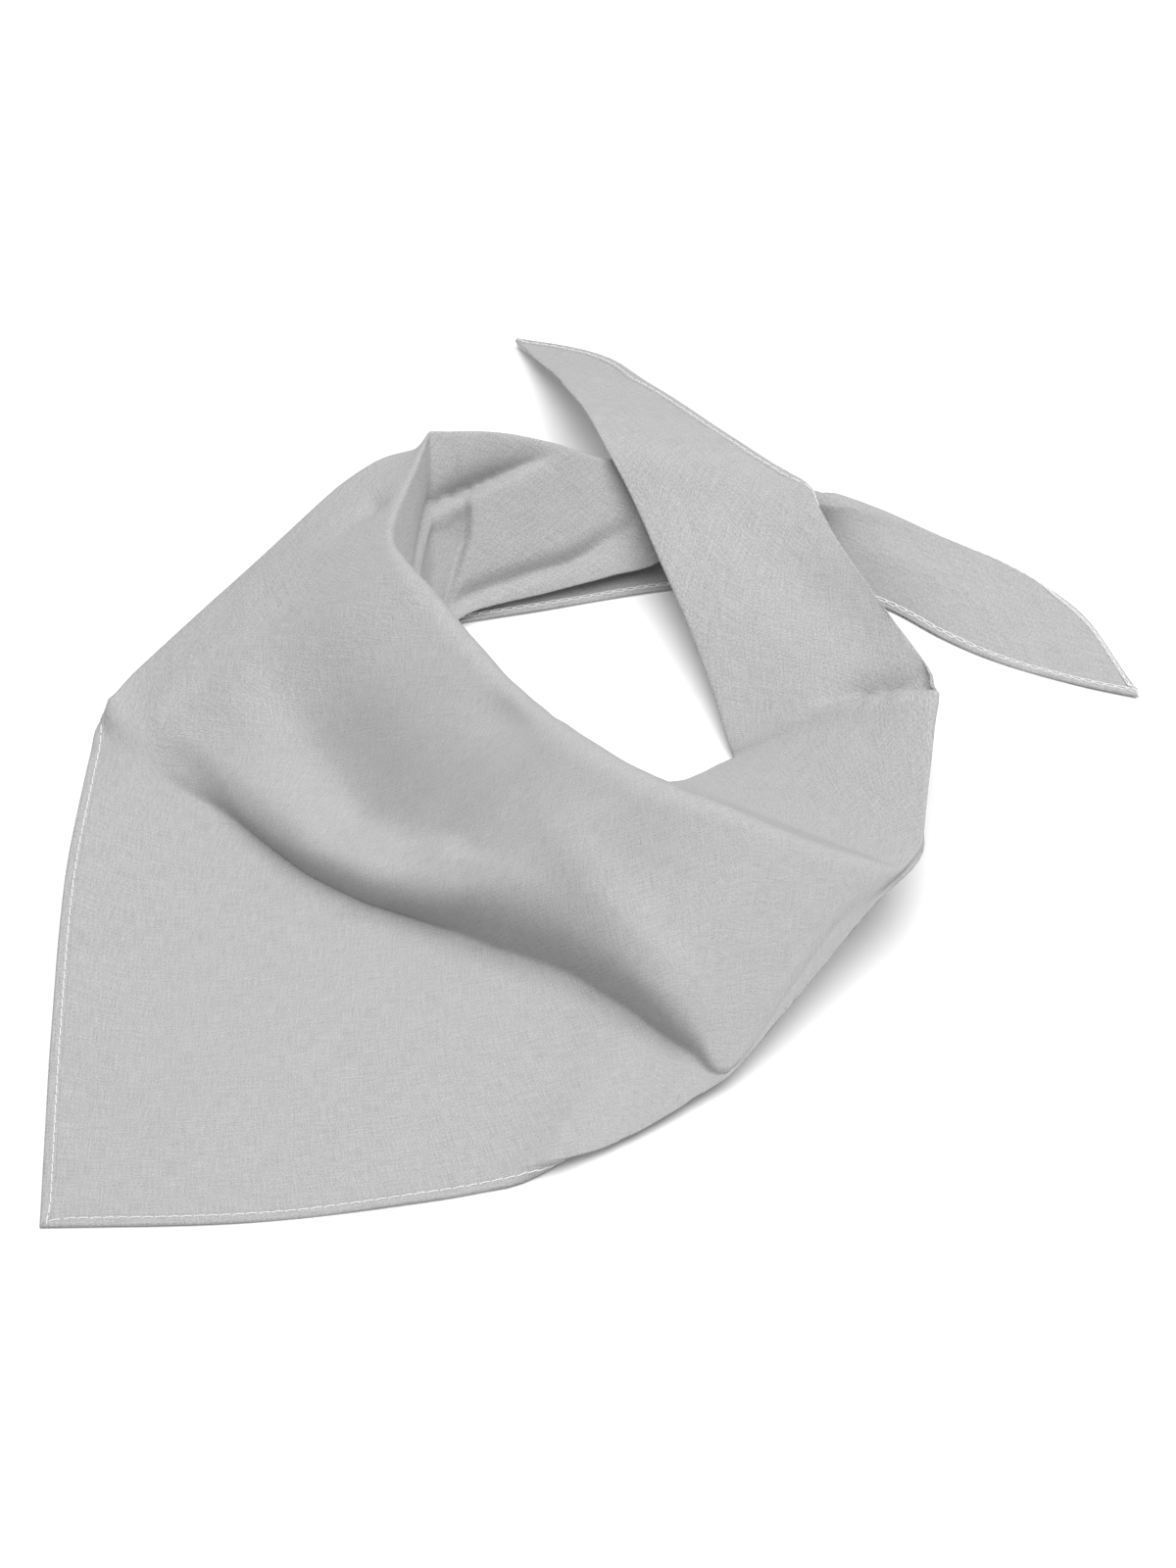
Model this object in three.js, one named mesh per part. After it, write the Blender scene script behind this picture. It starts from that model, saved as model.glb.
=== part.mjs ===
// A triangle scarf laid out as it is worn: the corner of the right angle lies flat in front, the long edge
// is rolled inwards into a standing collar round the open neck, and the two tips cross at the back.
// Millimetres, +Z up, the table at z = 0, +X to the right and +Y to the back.

import * as THREE from 'three';

// Driving sizes
const CLOTH = 1; // wall of the cloth
const HEM_WIDTH = 4.5; // the turned and stitched edge
const HEM_WALL = 1.3; // two turns of cloth
const GAP = 0.8; // between the cloth and its hems
const MOST_SLANT = 1.42; // of a section against a short edge, as at the front corner
const LEAST_STEP = 0.15; // two neighbouring points of a section are never closer
const LONGEST_STEP = 3; // between two sections, in places along the scarf
const CLOTH_GREY = 0xb4b4b4;
const HEM_GREY = 0xa8a8a8;

// Places along the scarf, from the right tip to the left tip
const RIGHT_TIP = 0;
const APEX = 74;
const LEFT_TIP = 120;
const CLOTH_FROM = 3; // nearer the tips the two hems run together
const CLOTH_TO = 119.3;
const TIP_GAP = 0.12; // between the sewn tips and the cloth
const MITRE = 0.012; // half the gap between the two short hems at the front corner

const table = (names, rows) => rows.map((row) => Object.fromEntries(names.map((name, i) => [name, row[i] ?? 0])));

// Roundness of a section at its folds, and where it changes along the scarf
const ROUND = { valley: 3, foot: 5 };
const ROUND_BY_PLACE = {
  edge: table(['at', 'round'], [[84, 5], [86, 1.5], [94, 1.5], [97, 5]]),
  crest: table(['at', 'round'], [[70, 6], [76, 16], [80, 14], [85, 6]]),
  rim: table(['at', 'round'], [[0, 9], [60, 12], [80, 10], [88, 4], [97, 4], [102, 8]]),
};

// The short edges, from the right tip round the front corner to the left tip
const LEG_HEM = table(['at', 'x', 'y', 'z', 'sharp'], [
  [0, 209, 44, 1],
  [4, 189, 50, 1],
  [8, 166, 59, 1],
  [12, 150, 67, 1],
  [16, 135, 77, 1],
  [20, 118, 91, 1],
  [24, 100, 101, 1],
  [28, 80, 106, 1],
  [32, 55, 107, 1],
  [36, 30, 103, 1],
  [44, -17, 92, 1],
  [50, -62, 81, 1],
  [53, -84, 73, 1],
  [56, -115, 60, 1],
  [59, -152, 44, 1],
  [61, -177, 34, 1],
  [61.6, -183, 31, 1],
  [62, -184.5, 28, 1],
  [63, -185.5, 17, 1],
  [66, -189.4, -40, 1],
  [70, -188, -120, 1],
  [74, -184, -206, 1, 1],
  [78, -118, -204, 1],
  [82, -60, -196, 1],
  [84, -36, -191, 1],
  [85, -22, -187, 1],
  [85.6, -13, -181, 1],
  [86.2, -5, -172, 1],
  [88, 16, -132, 1],
  [90, 32, -82, 1],
  [93, 54, -22, 1],
  [97, 70, 28, 2],
  [100, 76, 54, 10],
  [104, 84, 88, 24.5],
  [106, 87, 105, 29.5],
  [107.3, 88.5, 115, 33],
  [108, 87.5, 121, 35],
  [109, 83.5, 126, 37.3],
  [110, 77, 129, 38.5],
  [113, 55, 155.5, 35],
  [116, 25, 197, 25],
  [119, -6, 237, 10],
  [120, -30, 251, 3],
]);

// Where the outer layer turns under at the sides, and its belly elsewhere
const EDGE = table(['at', 'x', 'y', 'z', 'sharp'], [
  [0, 208, 45, 1.2],
  [8, 172, 78, 4],
  [12, 155, 88, 7],
  [20, 116, 109, 13],
  [28, 77, 121, 12],
  [34, 39, 131, 8.5],
  [37, 21, 133, 11],
  [44, -19, 131, 18],
  [48, -51, 134, 31],
  [50, -65, 136, 44, 1],
  [53, -84, 126, 44],
  [56, -113, 102, 32],
  [59, -150, 71, 14],
  [61, -177, 39, 7.5],
  [61.6, -180.5, 31, 9],
  [62, -177, 23, 5],
  [63, -173, 10, 2.5],
  [64, -172, -2, 1],
  [68, -160, -72, 0.5],
  [74, -140, -162, 0.5],
  [82, -42, -168, 0.8],
  [84, -26, -177, 3],
  [85, -17, -181.5, 6],
  [85.6, -11, -182.5, 7.5],
  [86.2, 0, -177, 5],
  [88, 28, -160, 5],
  [88.6, 39, -152, 6],
  [89.2, 49.3, -145, 7, 1],
  [90, 67.6, -125.5, 17],
  [91, 84.7, -105.7, 24.5],
  [92, 100.6, -87.2, 31.5],
  [93, 116.5, -70, 34],
  [95, 116, -22, 20],
  [97, 114, 18, 17],
  [100, 104, 51, 20],
  [104, 92, 86, 31],
  [106, 90.5, 103, 35],
  [107.3, 87.4, 114.7, 36.5],
  [108, 86, 120, 37.5],
  [109.5, 79, 127, 38.5],
]);

// The foot and the top of the steep fold that crosses the front
const VALLEY = table(['at', 'x', 'y', 'z', 'sharp'], [
  [60, -166, 33, 9],
  [62, -162, 10, 3.5],
  [66, -127, -23, 0.5],
  [70, -97, -50, 0.5],
  [74, -60, -69, 0.5],
  [78, -34, -81.5, 0.5],
  [82, -6, -95, 1],
  [84, 7, -106, 2],
  [85, 14.5, -112.5, 3],
  [88, 36.5, -134.5, 5],
  [89.2, 49.8, -143.3, 7.2],
]);
const CREST = table(['at', 'x', 'y', 'z', 'sharp'], [
  [60, -152, 40, 12],
  [62, -147, 14, 10],
  [66, -127, -24, 8.5],
  [70, -98, -53, 11],
  [74, -62, -72, 15],
  [78, -34, -80, 27],
  [82, -5, -94, 24],
  [85, 15, -112, 22],
  [88, 38, -134, 15],
  [89.2, 51, -142.3, 9.5],
]);
const STEEP_FOLD = { from: 57, fullFrom: 62, fullTo: 89.2, to: 90.4 };

// The collar's top fold. At the right tip, up to place 8, it runs along the tip's slanted edge
const RIM = table(['at', 'x', 'y', 'z', 'sharp'], [
  [0, 207.5, 46, 1.2],
  [4, 193, 71, 3],
  [8, 179, 98, 4],
  [12, 159, 110, 9],
  [16, 136, 118, 15],
  [20, 113, 126, 21],
  [24, 95, 129, 25],
  [28, 72, 132, 22],
  [30, 59, 133.5, 21],
  [32, 46, 135, 24],
  [36, 24, 139, 34],
  [40, 5, 139, 37],
  [44, -18, 135, 48],
  [48, -45, 135, 53],
  [50, -61, 134, 55, 1],
  [53, -68.5, 107, 55],
  [56, -74, 77, 57],
  [59, -70, 56, 60],
  [62, -57, 32, 60],
  [66, -35, -3.5, 60.5],
  [74, -8, -34.5, 59.5],
  [78, 10, -48.5, 57.5],
  [82, 30, -58.5, 54.5],
  [85, 48, -63.5, 50.5],
  [88, 78, -72.5, 43],
  [90, 97, -76.5, 38.5],
  [92, 110, -75, 36],
  [93, 118, -64, 36, 1],
  [95, 123, -22, 36],
  [97, 127, 18, 37, 1],
  [100, 111, 53, 38],
  [104, 96, 86, 39],
  [108, 83, 120, 40],
  [110, 76, 129, 39],
]);

// Further on it has run into the hem, which is the edge of the left end up to its tip
const RIM_RUNS_OUT = { from: 108, to: 109.6 };

// Where corners lie that bend nothing: the first two as shares of the way from the hem to the foot, once the
// rim has run out, and the last two from the edge to the rim, away from the steep fold
const STRAIGHT = { edge: 0.05, rim: 0.2, valley: 0.3, crest: 0.6 };

// The bottom fold of the inner layer. At the right end it hangs behind, at the left end it is the left edge
const FOOT = table(['at', 'x', 'y', 'z', 'sharp'], [
  [0, 208, 46.5, 1.2],
  [8, 179.5, 99, 3.5],
  [12, 160, 114, 5.5],
  [16, 137.5, 124.5, 8.5],
  [20, 114.5, 134.5, 12],
  [24, 97, 138.5, 16],
  [27.5, 75, 139.5, 22],
  [29.5, 63, 136.5, 30],
  [31, 53, 129, 30],
  [32, 46, 124.5, 25],
  [33, 40, 121.5, 20.5],
  [34, 36, 118.5, 17],
  [35, 32, 115, 14],
  [36, 28, 111.5, 12.5],
  [40, 8, 104.5, 10],
  [44, -15, 97.5, 8],
  [48, -48, 86, 6],
  [50, -56, 76, 6],
  [53, -57, 61, 4],
  [56, -50, 48, 3],
  [62, -33, 31, 3],
  [74, -3, 14, 3],
  [82, 14, 6, 3],
  [88, 28, -2, 3],
  [91, 35, -3, 3],
  [97, 57, 11.5, 3, 1],
  [100, 49, 27, 9],
  [104, 35, 68, 22],
  [108, 18, 113, 37],
  [110, 8, 134, 43],
  [113, -2, 165, 39],
  [116, -12, 198, 26],
  [119, -23, 232, 10],
  [120, -29.9, 250.4, 3],
]);

// How far the rolled edge climbs again inside the collar, as a share of its height. Below 0 it hangs on
// downwards instead, as behind the right end
const TUCK = table(['at', 'share', 'drop'], [
  [0, -0.9, 0],
  [24, -0.9, 0],
  [31, -0.5, 0],
  [33, -0.15, 5],
  [34.5, 0.12, 5.5],
  [37, 0.35, 4],
  [48, 0.4, 4.5],
  [56, 0.5, 6],
  [85, 0.55, 6],
  [97, 0.35, 4.5],
  [108, 0.35, 4],
  [118, 0.4, 3.7],
  [120, 0.4, 2.8],
]);

// Soft dents of one layer, along lines of places in plan: ridges (rise above 0) and hollows (below 0). Layers
// are numbered as they lie in a section: 1 from the hem to the rim, 2 from the rim to the foot
const dent = (layer, width, rows) => ({ layer, width, line: table(['x', 'y', 'rise'], rows) });
const DENTS = [
  // The second, shallow valley across the front, and the ridge between it and the steep fold
  dent(1, 15, [[-122, 60, 0], [-118, 30, -4], [-107, -4, -8], [-84, -33, -8], [-60, -47, -3]]),
  dent(1, 8, [[-160, 28, 1], [-120, -12, 3.5], [-94, -38, 4.5], [-74, -52, 4.5], [-50, -62, 2]]),
  // The ridge that runs down to the right corner
  dent(1, 8, [[-14, -62, 1], [3, -82, 3], [20, -102, 3.5], [38, -125, 2], [46, -136, 0]]),
  // The inside of the back: a valley under the rim, one over the bottom fold, and the crease of the corner
  dent(2, 6, [[-64, 116, -4], [-44, 122, -6], [-32, 128, -5], [-14, 133, 0]]),
  dent(2, 6, [[-48, 92, -3], [-24, 108, -3], [4, 120, -3], [16, 122, -1]]),
  dent(2, 6, [[-50, 126, 2], [-46, 112, 5], [-47, 104, 5], [-52, 86, 2]]),
  // The lip where the right side turns into the left end, the pocket behind it, and the left end's own valley
  dent(2, 5, [[70, 6, 1], [88, 12, 3], [104, 16, 4], [124, 19, 3]]),
  dent(2, 8, [[88, 30, -1], [100, 31, -4], [110, 31, -6]]),
  dent(2, 14, [[60, 104, -1], [78, 76, -4], [100, 48, -3]]),
];

// A smooth line through a table's rows, with a kink at each sharp row
function valueAt(rows, at, name) {
  const last = rows.length - 1;
  if (at <= rows[0].at) return rows[0][name];
  if (at >= rows[last].at) return rows[last][name];
  const i = rows.findIndex((row, k) => at < rows[k + 1].at);
  const [a, b] = [rows[i], rows[i + 1]];
  const span = b.at - a.at;
  const slope = (b[name] - a[name]) / span;
  const tangent = (row, other) => {
    if (row.sharp || !other) return slope;
    const far = Math.abs(row.at - other.at);
    const otherSlope = (row[name] - other[name]) / (row.at - other.at);
    return (slope * far + otherSlope * span) / (far + span);
  };
  const [enter, leave] = [tangent(a, rows[i - 1]) - slope, tangent(b, rows[i + 2]) - slope];
  const t = (at - a.at) / span;
  return a[name] + (t * slope + t * (1 - t) * ((1 - t) * enter - t * leave)) * span;
}

const pointAt = (rows, at) => new THREE.Vector3(...['x', 'y', 'z'].map((name) => valueAt(rows, at, name)));
const between = (a, b, share) => a.clone().lerp(b, share);
const { clamp, smoothstep } = THREE.MathUtils;

// The rolled edge lies outside the inner layer, so it is dropped square to that layer, away from the neck
function tuckAt(at, rim, foot) {
  const along = pointAt(FOOT, Math.min(at + 1, LEFT_TIP)).sub(pointAt(FOOT, Math.max(at - 1, RIGHT_TIP)));
  const out = along.cross(rim.clone().sub(foot)).normalize();
  return between(foot, rim, valueAt(TUCK, at, 'share')).addScaledVector(out, valueAt(TUCK, at, 'drop'));
}

// The corners of the section at one place, from the leg hem to the hem of the long edge. Its curve goes
// through a fold's corner, cuts a bend's corner, and has this many steps on the straight that follows
function cornersAt(at) {
  const [hem, edge, rim, foot] = [LEG_HEM, EDGE, RIM, FOOT].map((rows) => pointAt(rows, at));
  const runsOut = smoothstep(at, RIM_RUNS_OUT.from, RIM_RUNS_OUT.to);
  edge.lerp(between(hem, foot, STRAIGHT.edge), runsOut);
  rim.lerp(between(hem, foot, STRAIGHT.rim), runsOut);
  const { from, fullFrom, fullTo, to } = STEEP_FOLD;
  const steep = smoothstep(at, from, fullFrom) * (1 - smoothstep(at, fullTo, to));
  const valley = between(edge, rim, STRAIGHT.valley).lerp(pointAt(VALLEY, at), steep);
  const crest = between(edge, rim, STRAIGHT.crest).lerp(pointAt(CREST, at), steep);
  return [
    { point: hem, kind: 'end', steps: 2 },
    { point: edge, kind: 'fold', round: valueAt(ROUND_BY_PLACE.edge, at, 'round'), steps: 2 },
    { point: valley, kind: 'bend', round: ROUND.valley, steps: 1 },
    { point: crest, kind: 'bend', round: valueAt(ROUND_BY_PLACE.crest, at, 'round'), steps: 2 },
    { point: rim, kind: 'fold', round: valueAt(ROUND_BY_PLACE.rim, at, 'round'), steps: 4 },
    { point: foot, kind: 'fold', round: ROUND.foot, steps: 2 },
    { point: tuckAt(at, rim, foot), kind: 'end', steps: 0 },
  ];
}
const CURVE_POINTS = { end: 1, bend: 3, fold: 5 };
const MOST_OF_STRAIGHT = 0.45; // that one curve may take up
const RIM_CORNER = 4; // counted from 0 in the list above
const FOOT_CORNER = 5;

// Where a corner's curve begins and ends on the straights at its two sides, equally far from the corner
function curveEnds({ point, round }, before, after) {
  const far = [before, after].map((other) => point.distanceTo(other.point));
  const reach = Math.min(round, MOST_OF_STRAIGHT * Math.min(...far));
  return [before, after].map((other, i) => between(point, other.point, reach / far[i]));
}

// A fold's corner is moved out, so that its curve goes through the place that the tables give
function withRoom(corner, before, after) {
  if (corner.kind !== 'fold') return corner;
  const [enter, leave] = curveEnds(corner, before, after);
  const point = between(between(enter, leave, 0.5), corner.point, 2);
  return { ...corner, point };
}

// One corner as a short curve
function roundedCorner(corner, before, after) {
  if (corner.kind === 'end') return [corner.point];
  const [enter, leave] = curveEnds(corner, before, after);
  return new THREE.QuadraticBezierCurve3(enter, corner.point, leave).getPoints(CURVE_POINTS[corner.kind] - 1);
}

// The section as a line of points, the same number at every place
function sectionAt(at) {
  const exact = cornersAt(at);
  const corners = exact.map((corner, i) => withRoom(corner, exact[i - 1], exact[i + 1]));
  const curves = corners.map((corner, i) => roundedCorner(corner, corners[i - 1], corners[i + 1]));
  return curves.flatMap((curve, i) => {
    const { steps } = corners[i];
    const straight = Array.from({ length: steps }, (_, k) => (
      between(curve.at(-1), curves[i + 1][0], (k + 1) / (steps + 1))
    ));
    return [...curve, ...straight];
  });
}

// Where in a section a corner's curve begins and ends
function columnsOf(corner) {
  const counts = cornersAt(APEX).map(({ kind, steps }) => CURVE_POINTS[kind] + steps);
  const first = counts.slice(0, corner).reduce((sum, count) => sum + count, 0);
  return [first, first + CURVE_POINTS.fold - 1];
}

// The surface's direction at every point of a grid of sections, from its four neighbours
function normalsOf(grid) {
  const step = (from, to) => new THREE.Vector3().subVectors(to, from);
  return grid.map((line, i) => line.map((_, j) => {
    const along = step(grid[Math.max(i - 1, 0)][j], grid[Math.min(i + 1, grid.length - 1)][j]);
    const across = step(line[Math.max(j - 1, 0)], line[Math.min(j + 1, line.length - 1)]);
    return along.cross(across).normalize();
  }));
}

// How far a dent lifts a point of its layer: by its line's nearest place, and less the farther away
function riseOf({ line, width }, point) {
  const spans = line.slice(1).map((end, i) => {
    const start = line[i];
    const [dx, dy] = [end.x - start.x, end.y - start.y];
    const passed = ((point.x - start.x) * dx + (point.y - start.y) * dy) / (dx * dx + dy * dy);
    const share = clamp(passed, 0, 1);
    const far = Math.hypot(point.x - start.x - share * dx, point.y - start.y - share * dy) / width;
    return { far, rise: start.rise + (end.rise - start.rise) * share };
  });
  const { far, rise } = spans.reduce((nearest, span) => (span.far < nearest.far ? span : nearest));
  return rise * Math.exp(-(far ** 2));
}
const riseAt = (layer, point) => DENTS.filter((each) => each.layer === layer)
  .reduce((sum, each) => sum + riseOf(each, point), 0);

// The sections with their dents, which change over from one layer's to the next along the rim's curve. The
// rolled edge faces the other way, so it moves with the second layer where a dent's sign is turned round
function dentedSections(places) {
  const grid = places.map(sectionAt);
  const normals = normalsOf(grid);
  const [rim, foot] = [RIM_CORNER, FOOT_CORNER].map(columnsOf);
  const passed = (j, [first, last]) => clamp((j - first) / (last - first), 0, 1);
  return grid.map((line, i) => line.map((point, j) => {
    const second = passed(j, rim);
    const rise = (1 - second) * riseAt(1, point) + (second - 2 * passed(j, foot)) * riseAt(2, point);
    return point.clone().addScaledVector(normals[i][j], rise);
  }));
}

// The length along a line of points up to each of them, and the points at wanted lengths
function lengthsOf(line) {
  const lengths = [0];
  for (let i = 1; i < line.length; i += 1) lengths.push(lengths[i - 1] + line[i].distanceTo(line[i - 1]));
  return lengths;
}
function pointsAt(line, wanted) {
  const lengths = lengthsOf(line);
  return wanted.map((length) => {
    const i = Math.max(1, lengths.findIndex((reached) => reached >= Math.min(length, lengths.at(-1))));
    return between(line[i - 1], line[i], (length - lengths[i - 1]) / (lengths[i] - lengths[i - 1]));
  });
}

// How much longer a short edge's hem is along each section than square to the edge itself. Each side of the
// front corner has the direction of its own edge
function hemSlants(grid, places) {
  return grid.map((line, i) => {
    const neighbour = grid[i + (places[i] > APEX ? 1 : -1)] ?? grid[i + (places[i] > APEX ? -1 : 1)];
    const along = neighbour[0].clone().sub(line[0]).normalize();
    const square = along.cross(line[1].clone().sub(line[0]).normalize()).length();
    return clamp(1 / square, 1, MOST_SLANT);
  });
}

// A grid of points made into a wall of even thickness, closed round its edge, and nowhere under the table
function wall(grid, thickness) {
  const normals = normalsOf(grid);
  const [rows, columns] = [grid.length, grid[0].length];
  const positions = [];
  [1, -1].forEach((side) => grid.forEach((line, i) => line.forEach((point, j) => {
    const { x, y, z } = point.clone().addScaledVector(normals[i][j], (side * thickness) / 2);
    positions.push(x, y, Math.max(z, 0));
  })));
  const top = (i, j) => i * columns + j;
  const bottom = (i, j) => (rows + i) * columns + j;
  const faces = [];
  const quad = (a, b, c, d) => faces.push(a, b, c, a, c, d);
  for (let i = 0; i + 1 < rows; i += 1) {
    for (let j = 0; j + 1 < columns; j += 1) {
      quad(top(i, j), top(i + 1, j), top(i + 1, j + 1), top(i, j + 1));
      quad(bottom(i, j), bottom(i, j + 1), bottom(i + 1, j + 1), bottom(i + 1, j));
    }
    const end = columns - 1;
    quad(top(i, 0), bottom(i, 0), bottom(i + 1, 0), top(i + 1, 0));
    quad(top(i + 1, end), bottom(i + 1, end), bottom(i, end), top(i, end));
  }
  for (let j = 0; j + 1 < columns; j += 1) {
    const end = rows - 1;
    quad(top(0, j), top(0, j + 1), bottom(0, j + 1), bottom(0, j));
    quad(top(end, j + 1), top(end, j), bottom(end, j), bottom(end, j + 1));
  }
  const geometry = new THREE.BufferGeometry();
  geometry.setAttribute('position', new THREE.Float32BufferAttribute(positions, 3));
  geometry.setIndex(faces);
  geometry.computeVertexNormals();
  return geometry;
}

// The places where a section is worked out: each row of the tables, with no more than LONGEST_STEP between
function placesBetween(from, to, extra = []) {
  const marks = [LEG_HEM, EDGE, RIM, FOOT].flatMap((rows) => rows.map((row) => row.at));
  const inside = marks.filter((at) => at > from && at < to);
  const sorted = [...new Set([from, ...inside, ...extra, to])].sort((a, b) => a - b);
  return sorted.flatMap((at, i) => {
    const span = (sorted[i + 1] ?? at) - at;
    const parts = Math.max(1, Math.ceil(span / LONGEST_STEP));
    return Array.from({ length: parts }, (_, k) => at + (span * k) / parts);
  });
}

// The parts of the sections that a piece takes: its places, and the lengths of its points in one section. The
// hems' inner edges lie at the lengths short and long, or with the gap added at the cloth's own two edges
function piece(name, places, thickness, gap, lengthsIn) {
  const grid = dentedSections(places);
  const slants = hemSlants(grid, places);
  const width = HEM_WIDTH + gap;
  const points = grid.map((line, i) => {
    const lengths = lengthsOf(line);
    return pointsAt(line, lengthsIn(lengths, width * slants[i], lengths.at(-1) - width, places[i]));
  });
  const mesh = new THREE.Mesh(wall(points, thickness), cloth(name));
  mesh.name = name;
  return mesh;
}

const cloth = (name) => new THREE.MeshStandardMaterial({
  name, color: name === 'triangle_cloth' ? CLOTH_GREY : HEM_GREY, roughness: 0.9, metalness: 0,
});

// The cloth keeps the points of its section, pushed together where the hems would meet them
function triangleCloth() {
  return piece('triangle_cloth', placesBetween(CLOTH_FROM, CLOTH_TO), CLOTH, GAP, (lengths, short, long) => {
    const last = lengths.length - 1;
    return lengths.map((length, j) => clamp(length, short + j * LEAST_STEP, long - (last - j) * LEAST_STEP));
  });
}

// A short edge's hem, which takes the whole tip where the cloth has run out
function legHem(name, from, to) {
  const tipEnds = [CLOTH_FROM - TIP_GAP, CLOTH_FROM, CLOTH_TO, CLOTH_TO + TIP_GAP];
  const footColumn = columnsOf(FOOT_CORNER)[1];
  const places = placesBetween(from, to, tipEnds.filter((at) => at > from && at < to));
  return piece(name, places, HEM_WALL, 0, (lengths, short, long, at) => {
    const whole = at < CLOTH_FROM || at > CLOTH_TO;
    return [0, whole ? lengths[footColumn] : short];
  });
}

function longHem() {
  return piece('long_edge_hem', placesBetween(CLOTH_FROM, CLOTH_TO), HEM_WALL, 0, (lengths, short, long) => (
    [long, lengths.at(-1)]
  ));
}

const scarf = new THREE.Group();
scarf.add(
  triangleCloth(),
  legHem('right_leg_hem', RIGHT_TIP, APEX - MITRE),
  legHem('left_leg_hem', APEX + MITRE, LEFT_TIP),
  longHem(),
);

// The origin is under the middle of the box round the scarf
const box = new THREE.Box3().setFromObject(scarf);
const middle = box.getCenter(new THREE.Vector3());
scarf.position.set(-middle.x, -middle.y, -box.min.z);
scarf.updateMatrixWorld(true);

export default scarf;
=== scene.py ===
# The looks of a triangle scarf laid out as it is worn, on a plain pale floor in soft studio light.
# The scarf's own tables are in millimetres, as in the part's source, and every object is made in metres.

import math
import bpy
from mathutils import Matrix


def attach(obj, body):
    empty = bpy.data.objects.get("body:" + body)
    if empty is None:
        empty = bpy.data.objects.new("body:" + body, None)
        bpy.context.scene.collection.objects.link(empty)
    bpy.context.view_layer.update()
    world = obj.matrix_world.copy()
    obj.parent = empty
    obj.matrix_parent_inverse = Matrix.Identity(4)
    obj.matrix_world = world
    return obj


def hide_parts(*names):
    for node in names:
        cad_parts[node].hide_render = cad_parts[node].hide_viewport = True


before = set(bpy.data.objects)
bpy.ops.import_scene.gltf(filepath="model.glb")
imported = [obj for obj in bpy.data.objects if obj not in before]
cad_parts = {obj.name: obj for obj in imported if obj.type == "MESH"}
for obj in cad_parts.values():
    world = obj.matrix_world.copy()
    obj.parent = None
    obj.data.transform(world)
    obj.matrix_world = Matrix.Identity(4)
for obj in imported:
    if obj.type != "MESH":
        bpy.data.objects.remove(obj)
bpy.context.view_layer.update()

from types import SimpleNamespace

import bpy
import numpy as np
from mathutils import Vector

MM = 0.001
TINY = 1e-9

# Driving sizes of the cloth, in millimetres
LONG_EDGE = 922.0  # of the flat cut, a right-angled triangle with equal short edges
ORIGIN = (9.79, 22.58)  # the part's origin in the tables' millimetres
CLOTH_WALL = 0.5
HEM_WALL = 1.25
HEM_WIDTH = {"at": [0, 50, 60], "width": [3.4, 3.4, 4.5]}
MOST_SLANT = 1.42  # of a section against a short edge, as at the front corner
FLOOR_GAP = 0.05
LOWEST = CLOTH_WALL / 2 + FLOOR_GAP

# A hem's shape, in shares of its width and of its wall: where its fold ends, where it begins to thin, by how
# much, how wide the groove along its stitches is, and how thin it is at the very edge
HEM_SHAPE = {"fold": 0.16, "thins_from": 0.82, "thinned": 0.35, "groove_width": 0.13, "thinnest": 0.04}

# The stitches. Place is a share of the hem's width, groove a share of its wall, pull how much of the groove
# comes and goes along the stitches, reach and skew are shares of the pitch, pinch narrows a loop towards its
# closed end, points and sides are counts, and the rest is in millimetres
STITCH = {"pitch": 4.4, "place": 0.7, "groove": 0.42, "pull": 0.55}
CHAIN = {"points": 13, "reach": 0.62, "skew": 0.05, "width": 0.75, "pinch": 0.38, "rise": 0.14, "arch": 0.16}
NEEDLE = {"points": 8, "reach": 0.86, "slant": 0.25, "rise": -0.16, "arch": 0.3}
THREAD = {"radius": 0.25, "sides": 6}

# How finely the surfaces are made. The steps between sections are in millimetres, by place along the scarf
SECTION_STEP = {
    "at": [0, 33, 37, 46.5, 47.5, 50.2, 51, 57, 60, 120],
    "step": [3.9, 3.5, 1.7, 1.7, 1, 1, 1.7, 1.7, 3.2, 3.6],
}
TRIAL_PLACES = 2000
HEM_STEP = 0.9
HEM_COLUMNS = 12
SMOOTHING = {"rounds": 1, "share": 0.5}

# Soft waves all over the cloth, a few of each length in millimetres
UNEVEN = {"lengths": [40, 75], "waves": 3, "rise": 0.06, "seed": 5}

# The corners of a section, from the short edges to the long edge, with the kind of each and the number of
# columns on the straight that follows it
CORNERS = {
    "hem": ("end", 9),
    "edge": ("fold", 8),
    "valley": ("bend", 3),
    "crest": ("bend", 22),
    "rim": ("fold", 34),
    "foot": ("fold", 4),
    "tuck": ("end", 0),
}
CURVE_POINTS = {"end": 1, "bend": 8, "fold": 11}

# How round the corners are, in millimetres by place along the scarf. The cloth's two ends have no curve
ROUND_BY_PLACE = {
    "edge": {"at": [84, 86, 94, 97], "round": [5, 0.5, 0.5, 5]},
    "valley": {"at": [0], "round": [3]},
    "crest": {"at": [70, 76, 80, 85], "round": [6, 16, 14, 6]},
    "rim": {"at": [0, 40, 50, 57, 61, 80, 88, 97, 102], "round": [9, 10, 4, 3, 11, 10, 6, 5, 8]},
    "foot": {"at": [0, 97, 100, 106, 109], "round": [5, 5, 9, 9, 6]},
}
MOST_OF_STRAIGHT = 0.45  # that one curve may take up

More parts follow.
